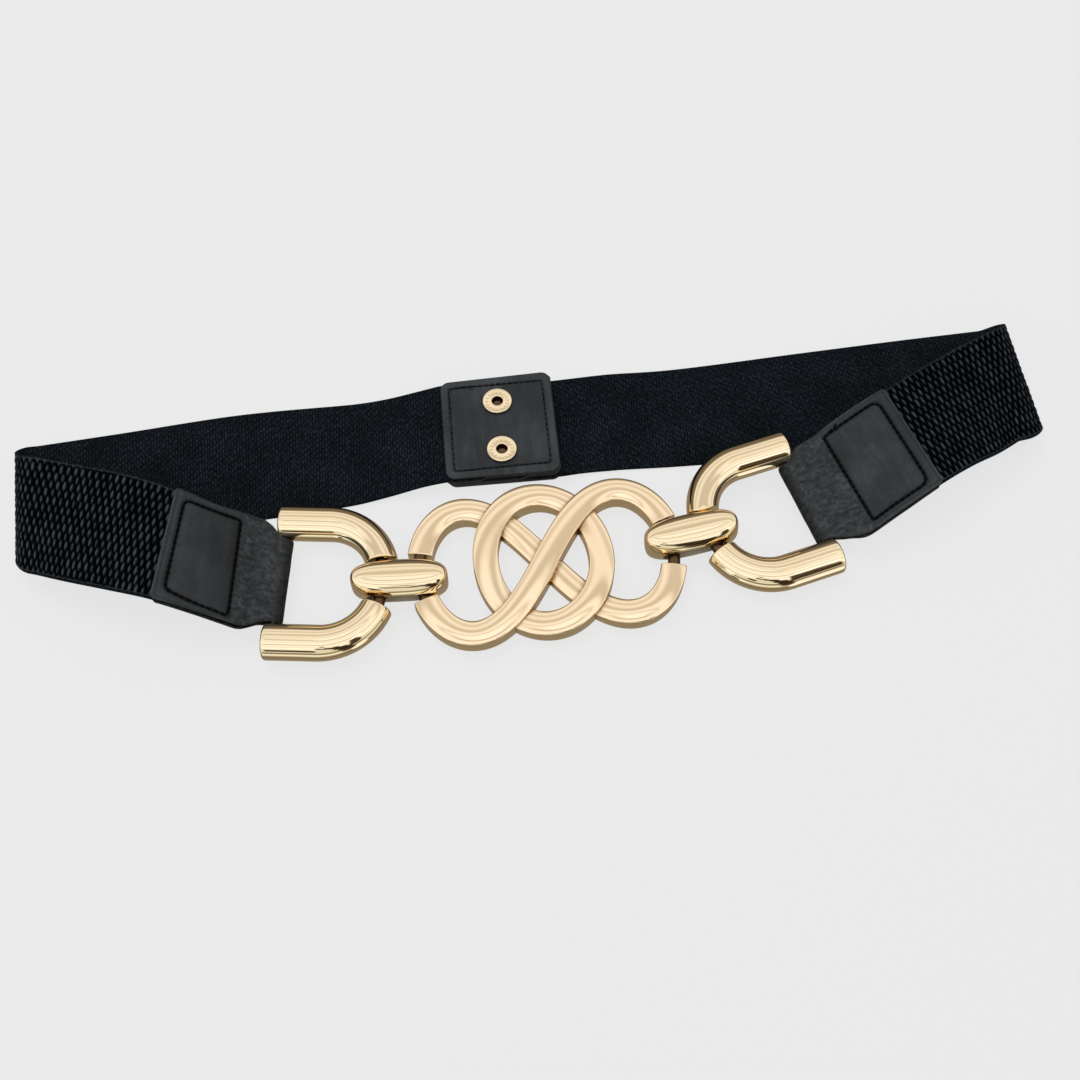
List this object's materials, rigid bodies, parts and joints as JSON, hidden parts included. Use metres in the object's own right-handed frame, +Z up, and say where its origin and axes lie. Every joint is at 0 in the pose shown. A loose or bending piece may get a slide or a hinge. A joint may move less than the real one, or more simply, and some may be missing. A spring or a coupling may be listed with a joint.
{
  "type": "stretch waist belt with a chain-style knot buckle",
  "caption": "Wide stretch waist belt lying closed, with a gilt buckle of horseshoes, links and a knot of loops, and a snap closure of leather at the back.",
  "frame": {"origin": "on the surface that the belt lies on, under the centre of its bounding box", "axes": "+Z up, +X to the right with the buckle towards the viewer, +Y away from the buckle towards the closure at the back"},
  "size_m": [0.3502, 0.1318, 0.0202],
  "materials": {
    "gilt_polished": "mirror-polished pale gold plating",
    "gilt_satin": "satin pale gold plating",
    "webbing": "black woven elastic, bumpy on its outer face and finely ribbed on its inner face",
    "leather": "black grained leather, stitched in black"
  },
  "bodies": {
    "root": {"horseshoe_left": "gilt_polished", "horseshoe_right": "gilt_polished", "link_left": "gilt_polished", "link_right": "gilt_polished", "snap_stud_near": "gilt_polished", "snap_stud_far": "gilt_polished", "snap_socket_near": "gilt_polished", "snap_socket_far": "gilt_polished", "knot": "gilt_satin", "elastic_left": "webbing", "elastic_right": "webbing", "leather_tab_left": "leather", "leather_tab_right": "leather", "closure_tab_outer": "leather", "closure_tab_inner": "leather"}
  },
  "joints": []
}
